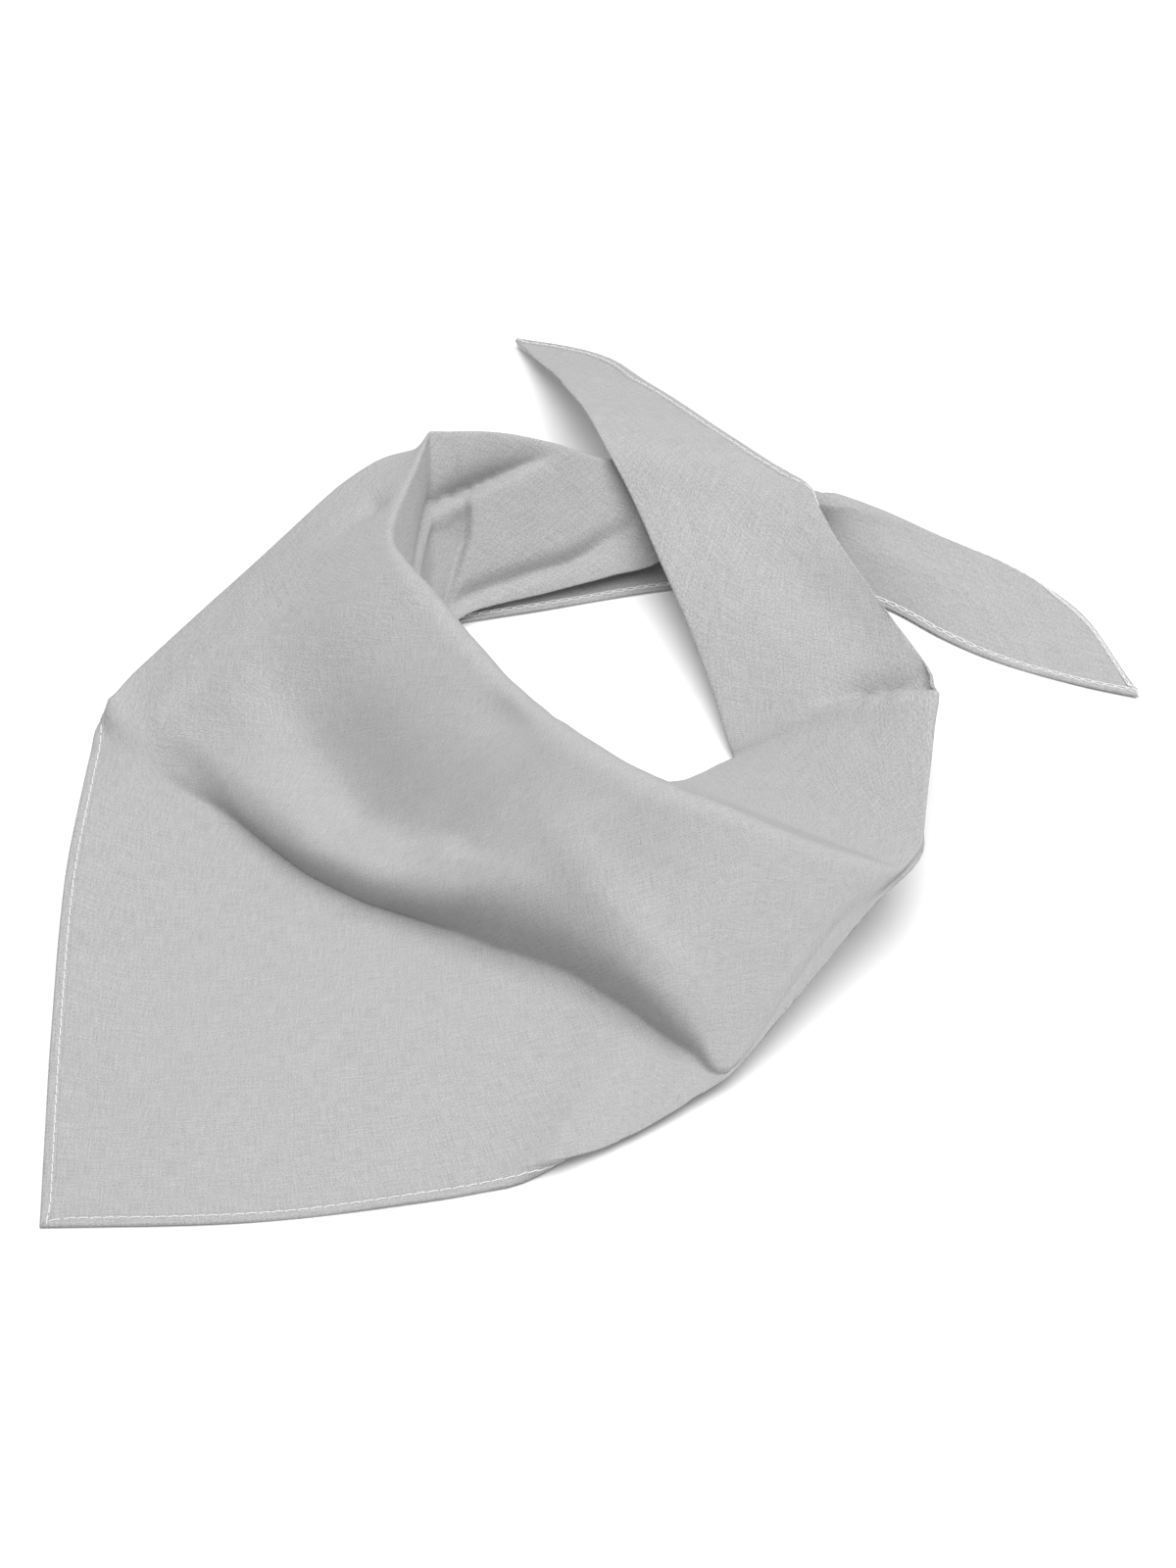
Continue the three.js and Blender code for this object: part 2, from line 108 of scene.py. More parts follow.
# The cloth's looks: its threads, specks and patches in millimetres, how much each of them changes the shade
# and the surface, and how much more of them the hems have
CLOTH_COLOUR = (0.375, 0.375, 0.378)
WEAVE_PITCH = 0.6
STREAK = {"across": 0.55, "along": 9, "detail": 1.5}
SPECK = {"size": 0.5, "detail": 0}
PATCH = {"size": 28, "detail": 2}
SHADE = {"threads": 0.34, "specks": 0.60, "patches": 0.05, "weave": 0.06, "darker": 0.03}
RELIEF = {"threads": 0.9, "specks": 0.8, "weave": 0.5, "strength": 0.5, "depth": 0.12}
ROUGH = {"middle": 0.86, "by_specks": 0.2}
GRAIN = {"cloth": 1.0, "hem": 1.3}
FABRIC_SURFACE = {"Sheen Weight": 0.12, "Sheen Roughness": 0.45, "Specular IOR Level": 0.2}

# The thread's looks, and the floor's
THREAD_COLOUR = (0.70, 0.70, 0.70)
TWIST = {"scale": 2500, "detail": 1, "shade": 0.3, "darkest": 0.85, "strength": 0.4, "depth": 0.05}
THREAD_SURFACE = {"Sheen Weight": 0.2, "Specular IOR Level": 0.35, "Roughness": 0.6}
FLOOR_SIZE = 12
FLOOR_SURFACE = {"Base Color": (0.95, 0.95, 0.95, 1), "Roughness": 0.9, "Specular IOR Level": 0.1}

# Light and view, in metres, watts and degrees, with the lens and its sensor in millimetres
FILL = 0.43
SOFTBOX = {"place": (0.22, -0.05, 1.9), "size": 2.2, "power": 51}
CAMERA = {"elevation": 46.5, "distance": 1.491, "lens": 92.25, "sensor": 36, "near": 0.05, "far": 30}

# Places along the scarf, from the right tip to the left tip
RIGHT_TIP, APEX, LEFT_TIP = 0.0, 74.0, 120.0
FIRST, LAST = 0.1, 119.95  # the first and last sections that are made


def table(names, rows):
    """Columns by name. A row may leave out its last values, which are then 0."""
    filled = np.array([list(row) + [0] * (len(names) - len(row)) for row in rows], float)
    return SimpleNamespace(**{name: filled[:, i] for i, name in enumerate(names)})


# The short edges, from the right tip round the front corner to the left tip
LEG_HEM = table(["at", "x", "y", "z", "sharp"], [
    [0, 209, 44, 1],
    [4, 189, 50, 1],
    [8, 166, 59, 1],
    [12, 150, 67, 1],
    [16, 135, 77, 1],
    [20, 118, 91, 1],
    [24, 100, 101, 1],
    [28, 80, 106, 1],
    [32, 55, 107, 1],
    [36, 30, 103, 1],
    [44, -17, 92, 1],
    [50, -62, 81, 1],
    [53, -84, 73, 1],
    [56, -115, 60, 1],
    [59, -152, 44, 1],
    [61, -177, 34, 1],
    [61.6, -183, 31, 1],
    [62, -184.5, 28, 1],
    [63, -185.5, 17, 1],
    [66, -189.4, -40, 1],
    [70, -188, -120, 1],
    [74, -184, -206, 1, 1],
    [78, -118, -204, 1],
    [82, -60, -196, 1],
    [84, -36, -191, 1],
    [85, -22, -187, 1],
    [85.6, -13, -181, 1],
    [86.2, -5, -172, 1],
    [88, 16, -132, 1],
    [90, 32, -82, 1],
    [93, 54, -22, 1],
    [97, 70, 28, 2],
    [100, 76, 54, 10],
    [104, 84, 88, 24.5],
    [106, 87, 105, 29.5],
    [107.3, 88.5, 115, 33],
    [108, 87.5, 121, 35],
    [109, 83.5, 126, 37.3],
    [110, 77, 129, 38.5],
    [113, 55, 155.5, 35],
    [116, 25, 197, 25],
    [119, -6, 237, 10],
    [120, -30, 251, 3],
])

# Where the outer layer turns under at the sides, and its belly elsewhere
EDGE = table(["at", "x", "y", "z", "sharp"], [
    [0, 208, 45, 1.2],
    [8, 172, 78, 4],
    [12, 155, 88, 7],
    [20, 116, 109, 13],
    [28, 77, 121, 12],
    [34, 39, 131, 8.5],
    [37, 21, 133, 11],
    [44, -19, 131, 18],
    [48, -51, 134, 31],
    [50, -65, 136, 44, 1],
    [53, -84, 126, 44],
    [56, -113, 102, 32],
    [59, -150, 71, 14],
    [61, -177, 39, 7.5],
    [61.6, -180.5, 31, 9],
    [62, -177, 23, 5],
    [63, -173, 10, 2.5],
    [64, -172, -2, 1],
    [68, -160, -72, 0.5],
    [74, -140, -162, 0.5],
    [82, -42, -168, 0.8],
    [84, -26, -177, 3],
    [85, -17, -181.5, 6],
    [85.6, -11, -182.5, 7.5],
    [86.2, 0, -177, 5],
    [88, 28, -160, 5],
    [88.6, 39, -152, 6],
    [89.2, 49.3, -145, 7, 1],
    [90, 67.6, -125.5, 17],
    [91, 84.7, -105.7, 24.5],
    [92, 100.6, -87.2, 31.5],
    [93, 116.5, -70, 34],
    [95, 116, -22, 20],
    [97, 114, 18, 17],
    [100, 104, 51, 20],
    [104, 92, 86, 31],
    [106, 90.5, 103, 35],
    [107.3, 87.4, 114.7, 36.5],
    [108, 86, 120, 37.5],
    [109.5, 79, 127, 38.5],
])

# The foot and the top of the steep fold that crosses the front
VALLEY = table(["at", "x", "y", "z", "sharp"], [
    [60, -166, 33, 9],
    [62, -162, 10, 3.5],
    [66, -127, -20, 0.5],
    [70, -97, -46.5, 0.5],
    [74, -60, -67, 0.5],
    [78, -34, -81.5, 0.5],
    [82, -6, -95, 1],
    [84, 7, -106, 2],
    [85, 14.5, -112.5, 3],
    [86.5, 26.5, -124.5, 4],
    [88, 36.5, -133.8, 5],
    [89.2, 49.2, -144, 7.3],
    [90, 67.9, -125, 17.2],
    [90.4, 74.9, -117, 20.3],
])
CREST = table(["at", "x", "y", "z", "sharp"], [
    [60, -152, 40, 12],
    [62, -147, 14, 10],
    [66, -127, -21, 8.5],
    [70, -98, -49.5, 11],
    [74, -62, -70, 15],
    [78, -34, -80, 27],
    [82, -5, -94, 24],
    [85, 15, -112, 23],
    [86.5, 27, -124, 21],
    [88, 37.5, -133.5, 15],
    [89.2, 50, -143, 8.8],
    [90, 69.1, -123, 18.1],
    [90.4, 76.1, -115, 21.2],
])
STEEP_FOLD = {"from": 57, "full_from": 62, "full_to": 89.2, "to": 90.4}

# The collar's top fold. At the right tip, up to place 8, it runs along the tip's slanted edge
RIM = table(["at", "x", "y", "z", "sharp"], [
    [0, 207.5, 46, 1.2],
    [4, 193, 71, 3],
    [8, 179, 98, 4],
    [12, 159, 110, 9],
    [16, 136, 118, 15],
    [20, 113, 126, 21],
    [24, 95, 129, 25],
    [28, 72, 132, 22],
    [30, 59, 133.5, 21],
    [32, 46, 135, 24],
    [36, 24, 139, 34],
    [40, 5, 139, 36],
    [44, -18, 135, 48],
    [48, -45, 135, 53],
    [50, -61, 134, 55, 1],
    [53, -67.8, 107, 55],
    [56, -74, 77, 57],
    [59, -70, 56, 60],
    [62, -57, 32, 60],
    [66, -35, -3.5, 60.5],
    [74, -8, -34.5, 59.5],
    [78, 10, -48.5, 57.5],
    [82, 30, -58.5, 54.5],
    [85, 48, -63.5, 50.5],
    [88, 78, -72.5, 43],
    [90, 97, -76.5, 38.5],
    [92, 110, -75, 36],
    [93, 118, -64, 36, 1],
    [95, 123, -22, 36],
    [97, 127, 18, 37, 1],
    [100, 111, 53, 38],
    [104, 96, 86, 39],
    [108, 83, 120, 40],
    [110, 76, 129, 39],
])

# Further on it has run into the hem, which is the edge of the left end up to its tip
RIM_RUNS_OUT = {"from": 108, "to": 109.6}

# Where corners lie that bend nothing: the first two as shares of the way from the hem to the foot, once the
# rim has run out, and the last two from the edge to the rim, away from the steep fold
STRAIGHT = {"edge": 0.05, "rim": 0.2, "valley": 0.3, "crest": 0.6}

# The bottom fold of the inner layer. At the right end it hangs behind, at the left end it is the left edge
FOOT = table(["at", "x", "y", "z", "sharp"], [
    [0, 208, 46.5, 1.2],
    [8, 179.5, 99, 3.5],
    [12, 160, 114, 5.5],
    [16, 137.5, 124.5, 8.5],
    [20, 114.5, 134.5, 12],
    [24, 97, 138.5, 16],
    [27.5, 75, 139.5, 22],
    [29.5, 63, 136.5, 30],
    [31, 53, 129, 30],
    [32, 46, 124.5, 25],
    [33, 40, 121.5, 20.5],
    [34, 36, 118.5, 17],
    [35, 32, 115, 14],
    [36, 28, 111.5, 12.5],
    [40, 8, 104, 11],
    [44, -15, 97, 9.3],
    [48, -48, 85, 7.5],
    [50, -56, 76, 6],
    [53, -57, 61, 4],
    [56, -50, 48, 3],
    [62, -33, 31, 3],
    [74, -3, 14, 3],
    [82, 14, 6, 3],
    [88, 28, -2, 3],
    [91, 35, -3, 3],
    [97, 57, 11.5, 3, 1],
    [98.5, 56, 17, 6],
    [100, 54, 27, 9],
    [104, 41, 69, 21],
    [108, 22, 118, 32],
    [110, 11.5, 136, 41],
    [113, 1.5, 165, 39],
    [116, -9.5, 198, 26],
    [119, -22, 232, 10],
    [120, -29.9, 250.4, 3],
])

# How far the rolled edge climbs again inside the collar, as a share of its height. Below 0 it hangs on
# downwards instead, as behind the right end
TUCK = table(["at", "share", "drop"], [
    [0, -0.9, 0],
    [24, -0.9, 0],
    [31, -0.5, 0],
    [33, -0.15, 5],
    [34.5, 0.12, 5.5],
    [37, 0.35, 4],
    [48, 0.4, 4.5],
    [56, 0.5, 6],
    [85, 0.55, 6],
    [97, 0.35, 4.5],
    [100, 0.35, 7],
    [106, 0.35, 7],
    [109, 0.35, 4],
    [118, 0.4, 3.7],
    [120, 0.4, 2.8],
])

# Ridges (rise above 0) and hollows (below 0) of one layer, along lines of places, each with its rise. A line
# is seen from above, in x and y, or from the front, in x and z, and then it lies behind the neck. The two
# widths lie to the left and to the right of it, and a crease is sharp at its line
OUTER, INNER = 1, 2  # the layer from the hem to the rim, and the one from the rim to the foot
FROM_ABOVE, FROM_FRONT = (0, 1), (0, 2)
BEHIND_NECK = {"from": 55, "full_from": 85, "full_to": 140, "to": 155}  # in y


def dent_of(layer, axes, widths, crease, line):
    return SimpleNamespace(layer=layer, axes=axes, widths=widths, crease=crease, line=line)


DENTS = {
    "second valley across the front": dent_of(OUTER, FROM_ABOVE, (24, 9), False, [
        (-122, 60, 0), (-118, 28, -5), (-104, -6, -11), (-86, -35, -12), (-62, -50, -6),
    ]),
    "ridge behind the steep fold": dent_of(OUTER, FROM_ABOVE, (6, 6), False, [
        (-160, 28, 1), (-122, -16, 3.5), (-97, -43, 4.5), (-76, -58, 4.5), (-52, -66, 2),
    ]),
    "ridge down to the right corner": dent_of(OUTER, FROM_ABOVE, (8, 8), False, [
        (-14, -62, 1), (3, -82, 3), (20, -102, 3.5), (38, -125, 2), (46, -136, 0),
    ]),
    "small valley at the front rim": dent_of(OUTER, FROM_ABOVE, (7, 7), False, [
        (-46, -10, 0), (-32, -22, -3), (-18, -36, 0),
    ]),
    "pinch at the left of the rim": dent_of(OUTER, FROM_ABOVE, (6, 6), False, [
        (-92, 92, -2), (-82, 98, -4), (-74, 96, 0),
    ]),
    "pocket beside the left end": dent_of(OUTER, FROM_ABOVE, (6, 6), False, [
        (88, 131, -2), (94, 128, -5), (100, 124, -2),
    ]),
    "valley under the back rim": dent_of(INNER, FROM_FRONT, (3.3, 0.9), True, [
        (-67, 36, 0), (-61, 37, -5), (-55, 38.3, -10), (-46, 39.5, -11),
        (-37, 41.5, -10), (-24, 44, -5), (-12, 45, 0),
    ]),
    "valley over the bottom fold": dent_of(INNER, FROM_FRONT, (3, 2), False, [
        (-52, 10, -2), (-45, 11, -4), (-27, 13, -4.5), (-18.5, 14, -4.5),
        (-7, 14.5, -4.5), (4, 17, -4), (16, 20, -2),
    ]),
    "pleat of the inner corner": dent_of(INNER, FROM_FRONT, (0.5, 20), True, [
        (-47, 38, -1), (-45.5, 33, -4.5), (-46, 27, -6), (-50, 18, -5), (-55.5, 6, -3),
    ]),
    "lip of the front over the left end": dent_of(INNER, FROM_ABOVE, (0.8, 8), True, [
        (70, 17, 1), (88, 18.5, 3), (100, 18, 5), (110, 16, 6), (118, 13.5, 6), (127, 13, 6),
    ]),
    "pocket behind that lip": dent_of(INNER, FROM_ABOVE, (5, 0.6), True, [
        (82, 21, 0), (91, 20.5, -5), (100, 19.5, -12), (110, 17.5, -13), (118, 15.5, -13), (126, 14.5, -10),
    ]),
    "shallow valley along the left end": dent_of(INNER, FROM_ABOVE, (14, 14), False, [
        (60, 104, -1), (78, 76, -4), (100, 48, -3),
    ]),
}


# The cloth's shape, worked out as arrays: one row for each section, one column for each point along it


def value_at(rows, at, values):
    """A smooth line through a table's rows, with a kink at each sharp row."""
    last = len(rows.at) - 1
    inside = np.clip(at, rows.at[0], rows.at[last])
    row = np.clip(np.searchsorted(rows.at, inside, side="right") - 1, 0, last - 1)
    before, after = np.clip(row - 1, 0, last - 1), np.clip(row + 1, 0, last - 1)
    sharp = getattr(rows, "sharp", np.zeros(last + 1))
    spans = np.diff(rows.at)
    slopes = np.diff(values) / spans

    def bend(knot, other, missing):
        """How far the line's slope at a row is from the slope of its own stretch."""
        mixed = (slopes[row] * spans[other] + slopes[other] * spans[row]) / (spans[other] + spans[row])
        return np.where((sharp[knot] > 0) | missing, 0, mixed - slopes[row])

    enter, leave = bend(row, before, row == 0), bend(row + 1, after, row == last - 1)
    share = (inside - rows.at[row]) / spans[row]
    curve = share * (1 - share) * ((1 - share) * enter - share * leave)
    return values[row] + (share * slopes[row] + curve) * spans[row]


def point_at(rows, at):
    return np.stack([value_at(rows, at, values) for values in (rows.x, rows.y, rows.z)], axis=-1)


def between(a, b, share):
    return a + (b - a) * (np.asarray(share)[..., None] if np.ndim(share) else share)


def unit(vectors):
    return vectors / np.maximum(np.linalg.norm(vectors, axis=-1, keepdims=True), TINY)


def smooth_step(value, low, high):
    share = np.clip((value - low) / (high - low), 0, 1)
    return share * share * (3 - 2 * share)


def share_inside(value, stretch):
    """1 in a stretch's full part, 0 outside the stretch, and smooth in between."""
    entered = smooth_step(value, stretch["from"], stretch["full_from"])
    left = smooth_step(value, stretch["full_to"], stretch["to"])
    return entered * (1 - left)


def run_along(points):
    """How far along a line of points each of them lies."""
    return np.concatenate([[0], np.cumsum(np.linalg.norm(np.diff(points, axis=0), axis=1))])


def lengths_of(grid):
    """How far along its section each point of a grid lies."""
    steps = np.linalg.norm(np.diff(grid, axis=1), axis=2)
    return np.concatenate([np.zeros((len(grid), 1)), np.cumsum(steps, axis=1)], axis=1)


def normals_of(grid):
    """The surface's direction at every point of a grid of sections."""
    return unit(np.cross(np.gradient(grid, axis=0), np.gradient(grid, axis=1)))


def tuck_at(at, rim, foot):
    """Where the rolled edge ends, on the inner layer's outer side, away from the neck."""
    ahead, behind = np.minimum(at + 1, LEFT_TIP), np.maximum(at - 1, RIGHT_TIP)
    outwards = unit(np.cross(point_at(FOOT, ahead) - point_at(FOOT, behind), rim - foot))
    share, drop = value_at(TUCK, at, TUCK.share), value_at(TUCK, at, TUCK.drop)
    return between(foot, rim, share) + outwards * drop[:, None]


def corners_at(at):
    """The corners of the sections at some places."""
    hem, edge, rim, foot = (point_at(rows, at) for rows in (LEG_HEM, EDGE, RIM, FOOT))
    run_out = smooth_step(at, RIM_RUNS_OUT["from"], RIM_RUNS_OUT["to"])
    edge = between(edge, between(hem, foot, STRAIGHT["edge"]), run_out)
    rim = between(rim, between(hem, foot, STRAIGHT["rim"]), run_out)
    steep = share_inside(at, STEEP_FOLD)
    valley = between(between(edge, rim, STRAIGHT["valley"]), point_at(VALLEY, at), steep)
    crest = between(between(edge, rim, STRAIGHT["crest"]), point_at(CREST, at), steep)
    points = [hem, edge, valley, crest, rim, foot, tuck_at(at, rim, foot)]
    rounds = {name: np.interp(at, rows["at"], rows["round"]) for name, rows in ROUND_BY_PLACE.items()}
    return [SimpleNamespace(point=point, kind=kind, steps=steps, round=rounds.get(name, 0))
            for point, (name, (kind, steps)) in zip(points, CORNERS.items())]


def neighbours(corners, index):
    return corners[max(index - 1, 0)], corners[min(index + 1, len(corners) - 1)]


def curve_ends(corner, before, after):
    """Where a corner's curve begins and ends, equally far from the corner."""
    lengths = [np.linalg.norm(corner.point - other.point, axis=-1) for other in (before, after)]
    reach = np.minimum(corner.round, MOST_OF_STRAIGHT * np.minimum(*lengths))
    return [between(corner.point, other.point, reach / np.maximum(length, TINY))
            for other, length in zip((before, after), lengths)]


def with_room(corner, before, after):
    """A fold's corner is moved out, so that its curve goes through the place that the tables give."""
    if corner.kind != "fold":
        return corner
    enter, leave = curve_ends(corner, before, after)
    point = between(between(enter, leave, 0.5), corner.point, 2)
    return SimpleNamespace(point=point, kind=corner.kind, steps=corner.steps, round=corner.round)


def rounded_corner(corner, before, after):
    if corner.kind == "end":
        return [corner.point]
    enter, leave = curve_ends(corner, before, after)
    shares = np.linspace(0, 1, CURVE_POINTS[corner.kind])
    return [enter * (1 - share) ** 2 + corner.point * 2 * share * (1 - share) + leave * share ** 2
            for share in shares]


def sections_at(at):
    """The sections as lines of points, the same number at every place."""
    exact = corners_at(at)
    corners = [with_room(corner, *neighbours(exact, index)) for index, corner in enumerate(exact)]
    curves = [rounded_corner(corner, *neighbours(corners, index)) for index, corner in enumerate(corners)]
    line = []
    for index, (corner, curve) in enumerate(zip(corners, curves)):
        line += curve
        shares = [(step + 1) / (corner.steps + 1) for step in range(corner.steps)]
        line += [between(curve[-1], curves[index + 1][0], share) for share in shares]
    return np.stack(line, axis=1)


def columns_of(name):
    """Where in a section a corner's curve begins and ends."""
    counts = [CURVE_POINTS[kind] + steps for kind, steps in CORNERS.values()]
    first = sum(counts[:list(CORNERS).index(name)])
    return first, first + CURVE_POINTS[CORNERS[name][0]] - 1


def rise_of(dent, grid):
    """How far a dent lifts each point: by its line's nearest place, and less the farther away."""
    across, upwards = (grid[..., axis] for axis in dent.axes)
    nearest = np.full(across.shape, np.inf)
    rise, width = np.zeros(across.shape), np.ones(across.shape)
    for (x1, y1, rise1), (x2, y2, rise2) in zip(dent.line, dent.line[1:]):
        dx, dy = x2 - x1, y2 - y1
        share = np.clip(((across - x1) * dx + (upwards - y1) * dy) / (dx * dx + dy * dy), 0, 1)
        on_left = dx * (upwards - y1) > dy * (across - x1)
        far = np.hypot(across - x1 - share * dx, upwards - y1 - share * dy)
        rise = np.where(far < nearest, rise1 + (rise2 - rise1) * share, rise)
        width = np.where(far < nearest, np.where(on_left, *dent.widths), width)
        nearest = np.minimum(nearest, far)
    widths_away = nearest / width
    rise = rise * np.exp(-widths_away if dent.crease else -(widths_away ** 2))
    if dent.axes == FROM_FRONT:
        rise = rise * share_inside(grid[..., 1], BEHIND_NECK)
    return rise


def rise_at(layer, grid):
    return sum(rise_of(dent, grid) for dent in DENTS.values() if dent.layer == layer)


def dented(grid):
    """Lifts each layer by its dents. The rolled edge lies behind the inner layer and faces the other way, so
    the same rise with its sign turned moves the two together."""
    columns = np.arange(grid.shape[1])
    (rim_from, rim_to), (foot_from, foot_to) = columns_of("rim"), columns_of("foot")
    inner = np.clip((columns - rim_from) / (rim_to - rim_from), 0, 1)
    turned = np.clip((columns - foot_from) / (foot_to - foot_from), 0, 1)
    rise = (1 - inner) * rise_at(OUTER, grid) + (inner - 2 * turned) * rise_at(INNER, grid)
    return grid + normals_of(grid) * rise[..., None]


def section_places(start, end):
    """Places along the scarf, with about SECTION_STEP's millimetres between their sections."""
    trial = np.linspace(start, end, TRIAL_PLACES)
    lines = [point_at(rows, trial) for rows in (LEG_HEM, EDGE, RIM, FOOT)]
    steps = np.mean([np.linalg.norm(np.diff(line, axis=0), axis=1) for line in lines], axis=0)
    sections = steps / np.interp(trial[1:], SECTION_STEP["at"], SECTION_STEP["step"])
    passed = np.concatenate([[0], np.cumsum(sections)])
    count = math.ceil(passed[-1]) + 1
    return np.interp(np.linspace(0, passed[-1], count), passed, trial)


def smoothed(grid):
    """Takes the edge off the kinks between sections and between corners. The cloth's own edges stay."""
    for _ in range(SMOOTHING["rounds"]):
        inner = grid.copy()
        inner[1:-1, 1:-1] = (grid[:-2, 1:-1] + grid[2:, 1:-1] + grid[1:-1, :-2] + grid[1:-1, 2:]) / 4
        grid = between(grid, inner, SMOOTHING["share"])
    return grid


def flat_places(places, grid):
    """Where each point lies in the flat cut, in millimetres along and towards the long edge."""
    run = run_along(grid[:, 0])
    apex = np.interp(APEX, places, run)
    leg = LONG_EDGE / math.sqrt(2)
    along_legs = np.where(run < apex, run / apex, 1 + (run - apex) / (run[-1] - apex)) * leg
    along = LONG_EDGE / 2 - along_legs / math.sqrt(2)
    towards = np.abs(along) - LONG_EDGE / 2
    repeated = np.repeat(along[:, None], grid.shape[1], 1)
    return np.stack([repeated, towards[:, None] + lengths_of(grid)], axis=-1)


def unevenness(flat):
    """Soft waves all over the cloth, which no table gives, from a few waves in seeded directions."""
    seeded = np.random.default_rng(UNEVEN["seed"])
    total = np.zeros(flat.shape[:2])
    for length in UNEVEN["lengths"]:
        for _ in range(UNEVEN["waves"]):
            turn, phase = seeded.uniform(0, math.tau, 2)
            across = flat[..., 0] * math.cos(turn) + flat[..., 1] * math.sin(turn)
            total += np.sin(math.tau * across / length + phase) * length / UNEVEN["lengths"][0]
    return total * UNEVEN["rise"]


def scarf_grid():
    """The middle surface of the whole cloth, hems and all, in millimetres, with its points' places in the
    flat cut, its sections' places along the scarf and the index of the section at the front corner."""
    before, after = section_places(FIRST, APEX), section_places(APEX, LAST)
    places = np.concatenate([before, after[1:]])
    grid = smoothed(dented(sections_at(places)))
    flat = flat_places(places, grid)
    grid = grid + normals_of(grid) * unevenness(flat)[..., None]
    grid[..., 2] = np.maximum(grid[..., 2], LOWEST)
    return grid, flat, places, len(before) - 1


# Meshes from grids and paths


def to_metres(points):
    return (points - np.array([*ORIGIN, 0])) * MM


def mesh_object(name, points, faces, material, uvs=None):
    mesh = bpy.data.meshes.new(name)
    mesh.from_pydata(to_metres(points).tolist(), [], faces.tolist())
    if uvs is not None:
        layer = mesh.uv_layers.new(name="flat")
        layer.data.foreach_set("uv", (uvs[faces.reshape(-1)] * MM).astype(np.float32).reshape(-1))
    mesh.polygons.foreach_set("use_smooth", [True] * len(mesh.polygons))
    mesh.materials.append(material)
    mesh.update()
    made = bpy.data.objects.new(name, mesh)
    bpy.context.scene.collection.objects.link(made)
    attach(made, "root")
    return made


def grid_faces(rows, columns, closed=False):
    """The faces of a grid of points. A closed one joins its last column to its first."""
    faces_across = columns if closed else columns - 1
    row, column = np.meshgrid(np.arange(rows - 1), np.arange(faces_across), indexing="ij")
    here, ahead = row * columns, (row + 1) * columns
    following = (column + 1) % columns
    corners = [here + column, ahead + column, ahead + following, here + following]
    return np.stack([corner.reshape(-1) for corner in corners], axis=1)


def wall_object(name, middle, half, flat, material):
    """A closed wall round a grid: half of its thickness on each side of it, which may differ by place."""
    rows, columns = middle.shape[:2]
    offset = normals_of(middle) * half[..., None]
    ring = np.concatenate([middle + offset, (middle - offset)[:, ::-1]], axis=1)
    ring[..., 2] = np.maximum(ring[..., 2], FLOOR_GAP)
    uvs = np.concatenate([flat, flat[:, ::-1]], axis=1)
    sides = grid_faces(rows, 2 * columns, closed=True)
    across = np.arange(columns - 1)
    start = np.stack([across, across + 1, 2 * columns - 2 - across, 2 * columns - 1 - across], axis=1)
    end = (rows - 1) * 2 * columns + start[:, ::-1]
    faces = np.concatenate([sides, start, end])
    return mesh_object(name, ring.reshape(-1, 3), faces, material, uvs.reshape(-1, 2))


def strands_object(name, paths, up, material):
    """Many short threads as tubes. paths holds their points and up the direction away from the cloth."""
    count, steps = paths.shape[:2]
    sides = THREAD["sides"]
    along = unit(np.gradient(paths, axis=1))
    side = unit(np.cross(along, up[:, None]))
    top = np.cross(side, along)
    turns = np.linspace(0, math.tau, sides, endpoint=False)[:, None, None, None]
    rings = paths + THREAD["radius"] * (np.cos(turns) * side + np.sin(turns) * top)
    points = np.moveaxis(rings, 0, 2)
    points[..., 2] = np.maximum(points[..., 2], FLOOR_GAP)
    faces = grid_faces(steps, sides, closed=True)
    first_points = np.arange(count) * steps * sides
    all_faces = (faces[None] + first_points[:, None, None]).reshape(-1, 4)
    return mesh_object(name, points.reshape(-1, 3), all_faces, material)


# The hems: the cloth's edge turned over, with a straight stitch on one side and a chain on the other


def spread(values, run, wanted):
    """The rows of an array at wanted distances along its first axis."""
    row = np.clip(np.searchsorted(run, wanted) - 1, 0, len(run) - 2)
    share = (wanted - run[row]) / np.maximum(run[row + 1] - run[row], TINY)
    share = share.reshape(-1, *[1] * (values.ndim - 1))
    return values[row] * (1 - share) + values[row + 1] * share


def hem_strip(grid, flat, widths):
    """The cloth's first millimetres from its edge, in HEM_COLUMNS columns, evenly spaced along the edge."""
    shares = np.linspace(0, 1, HEM_COLUMNS)
    columns = np.array([[np.interp(width * shares, line, axis) for axis in (*points.T, *cut.T)]
                        for width, line, points, cut in zip(widths, lengths_of(grid), grid, flat)])
    run = run_along(grid[:, 0])
    wanted = np.linspace(0, run[-1], math.ceil(run[-1] / HEM_STEP) + 1)
    strip = spread(np.moveaxis(columns, 1, 2), run, wanted)
    return strip[..., :3], strip[..., 3:], wanted


def hem_width(places):
    return np.interp(places, HEM_WIDTH["at"], HEM_WIDTH["width"])


def slanted_widths(grid, places):
    """The hem's width along each section, which meets the edge at a slant."""
    edge, inner_column = grid[:, 0], grid[:, 2]
    along = unit(np.gradient(edge, axis=0))
    square = np.linalg.norm(np.cross(along, unit(inner_column - edge)), axis=1)
    return hem_width(places) * np.clip(1 / np.maximum(square, TINY), 1, MOST_SLANT)


